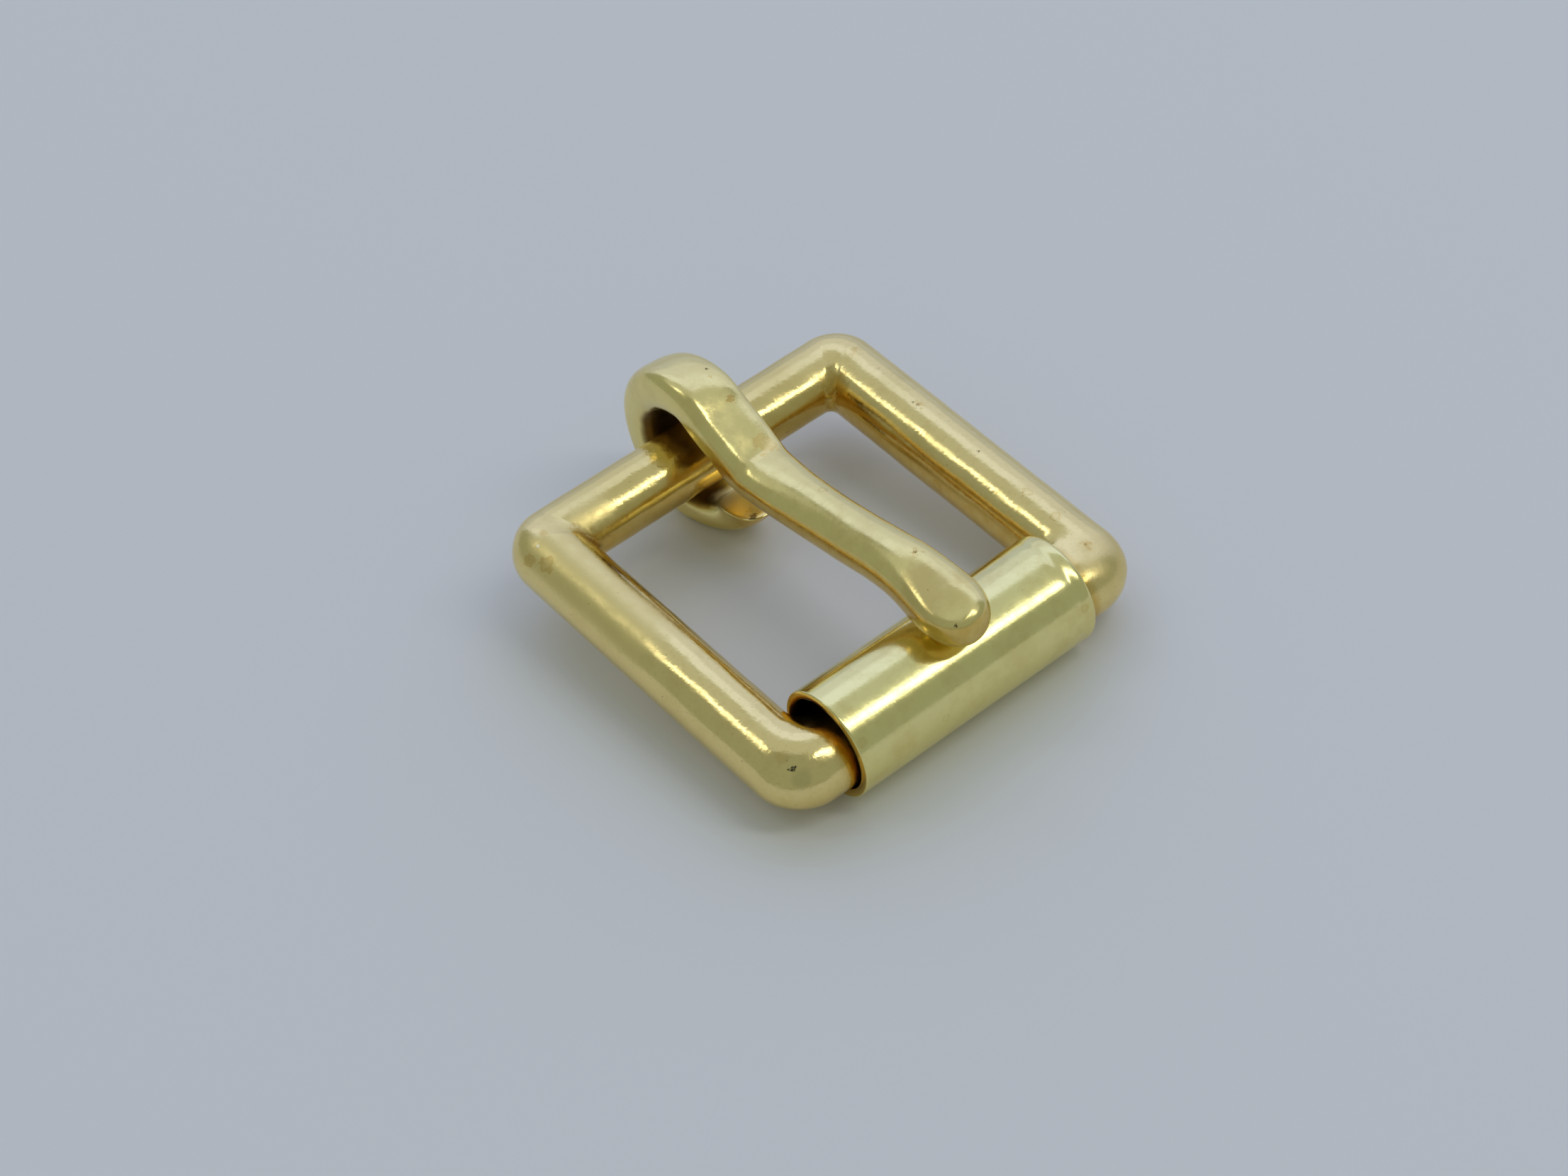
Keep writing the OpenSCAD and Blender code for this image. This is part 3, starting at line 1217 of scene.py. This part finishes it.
def bearing(azimuth: float, elevation: float) -> Vector:
    """Direction at an azimuth from the front and an elevation, both in radians."""
    level = math.cos(elevation)
    return Vector((math.sin(azimuth) * level, -math.cos(azimuth) * level, math.sin(elevation)))


@dataclass(frozen=True)
class Lamp:
    """A flat rectangular light that glows evenly, in metres.

    spot is its middle, facing is the azimuth and elevation that it shines from,
    and turn is how far it is turned about that direction, all in degrees. glow
    is its brightness where the room's walls are about 0.3.
    """

    name: str
    spot: Spot
    facing: Span
    width: float
    height: float
    glow: float
    colour: Colour = (1.0, 1.0, 1.0)
    turn: float = 0.0

    def build(self) -> bpy.types.Object:
        """Makes the light.

        Returns:
            The new light.
        """
        way = bearing(*(math.radians(angle) for angle in self.facing))
        light = bpy.data.lights.new(self.name, "AREA")
        light.shape = "RECTANGLE"
        light.size, light.size_y = self.width, self.height
        light.energy = self.glow * math.pi * self.width * self.height
        light.color = self.colour
        lamp = bpy.data.objects.new(self.name, light)
        lamp.location = self.spot
        spin = Matrix.Rotation(math.radians(self.turn), 3, way)
        lamp.rotation_euler = (spin @ way.to_track_quat("Z", "Y").to_matrix()).to_euler()
        bpy.context.scene.collection.objects.link(lamp)
        return lamp


@dataclass(frozen=True)
class FloorFinish:
    """The plain floor's pale and dull surface."""

    colour: Colour = (0.84, 0.83, 0.80)
    rough: float = 0.9
    shine: float = 0.1

    def material(self) -> bpy.types.Material:
        """Builds the surface.

        Returns:
            The material.
        """
        material = bpy.data.materials.new("pale floor")
        material.use_nodes = True
        shader = material.node_tree.nodes["Principled BSDF"]
        shader.inputs["Base Color"].default_value = (*self.colour, 1)
        shader.inputs["Roughness"].default_value = self.rough
        shader.inputs["Specular IOR Level"].default_value = self.shine
        return material


OVERHEAD = (0, 90)
WINDOW = (130, 0)
LAMP_TURN = -48.3
SKY_BLUE = (0.62, 0.68, 1.0)


@dataclass
class Studio:
    """The pale floor, the soft light and the camera.

    Angles are in degrees and lengths in metres, but the camera aims at a point
    in millimetres, and its focal length counts the photograph's pixels.
    """

    floor_finish: FloorFinish = FloorFinish()
    floor_size: float = 3.0
    azimuth: float = -34.85
    elevation: float = 44.46
    roll: float = -7.44
    distance: float = 0.21982
    aim: Spot = (-2.388, -0.609, 2.933)
    focal_px: float = 5079.4
    image_w: float = 2212.0
    sensor: float = 36.0
    clip_start: float = 0.005
    world_colour: Colour = (0.305, 0.344, 0.33)
    lamps: tuple[Lamp, ...] = (
        Lamp("front_lamp", (0.474, -0.598, 0.98), OVERHEAD, 0.98, 0.165, 3.4, turn=LAMP_TURN),
        Lamp("back_lamp", (-0.482, 0.542, 0.98), OVERHEAD, 0.45, 0.11, 2.3, turn=LAMP_TURN),
        Lamp("ceiling_glow", (0.357, 0.050, 1.0), OVERHEAD, 2.8, 0.60, 0.30, SKY_BLUE, LAMP_TURN),
        Lamp("window_low", (0.670, 0.739, 0.18), WINDOW, 2.3, 0.36, 0.51, (0.37, 0.44, 1.0)),
        Lamp("window_mid", (0.670, 0.739, 0.63), WINDOW, 2.3, 0.54, 0.75, (0.44, 0.50, 1.0)),
        Lamp("window_high", (0.670, 0.739, 1.315), WINDOW, 2.3, 0.83, 1.07, (0.435, 0.51, 1.0)),
    )

    def floor(self) -> bpy.types.Object:
        """Makes the plain floor.

        Returns:
            The floor.
        """
        half = self.floor_size / 2
        mesh = bpy.data.meshes.new("floor")
        corners = [(-half, -half, 0), (half, -half, 0), (half, half, 0), (-half, half, 0)]
        mesh.from_pydata(corners, [], [(0, 1, 2, 3)])
        floor = bpy.data.objects.new("floor", mesh)
        mesh.materials.append(self.floor_finish.material())
        bpy.context.scene.collection.objects.link(floor)
        return floor

    def camera(self) -> bpy.types.Object:
        """Makes the camera at the photograph's angle.

        Returns:
            The camera.
        """
        azimuth = math.radians(self.azimuth)
        back = bearing(azimuth, math.radians(self.elevation))
        right = Vector((math.cos(azimuth), math.sin(azimuth), 0))
        up = right.cross(-back)
        turn = math.radians(self.roll)
        axis_x = right * math.cos(turn) + up * math.sin(turn)
        axis_y = up * math.cos(turn) - right * math.sin(turn)
        data = bpy.data.cameras.new("camera")
        data.sensor_fit = "HORIZONTAL"
        data.sensor_width = self.sensor
        data.lens = self.focal_px / self.image_w * self.sensor
        data.clip_start = self.clip_start
        data.dof.use_dof = False
        camera = bpy.data.objects.new("camera", data)
        spot = Vector(self.aim) * MM + back * self.distance
        turn_to = Matrix((axis_x, axis_y, back)).transposed().to_4x4()
        camera.matrix_world = Matrix.Translation(spot) @ turn_to
        bpy.context.scene.collection.objects.link(camera)
        bpy.context.scene.camera = camera
        return camera

    def world(self) -> None:
        """Sets the soft light of the room."""
        world = bpy.data.worlds.new("room")
        world.use_nodes = True
        background = world.node_tree.nodes["Background"]
        background.inputs["Color"].default_value = (*self.world_colour, 1)
        bpy.context.scene.world = world
        bpy.context.scene.view_settings.view_transform = "Standard"

    def build(self) -> None:
        """Makes the floor, the lights and the camera."""
        self.floor()
        self.world()
        for lamp in self.lamps:
            lamp.build()
        self.camera()


def main() -> None:
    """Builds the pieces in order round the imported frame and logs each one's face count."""
    logging.basicConfig(level=logging.INFO, format="%(message)s")
    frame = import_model()
    plan = Plan()
    lie = Lie.from_joints(frame["joints"], plan)
    for part in (Loop(plan, lie), TubeRoller(plan, lie), Tongue(plan, lie)):
        piece = part.build()
        LOG.info("%s: %d faces", piece.name, len(piece.data.polygons))
    Studio().build()
    LOG.info("sizes written")


if __name__ == "__main__":
    main()
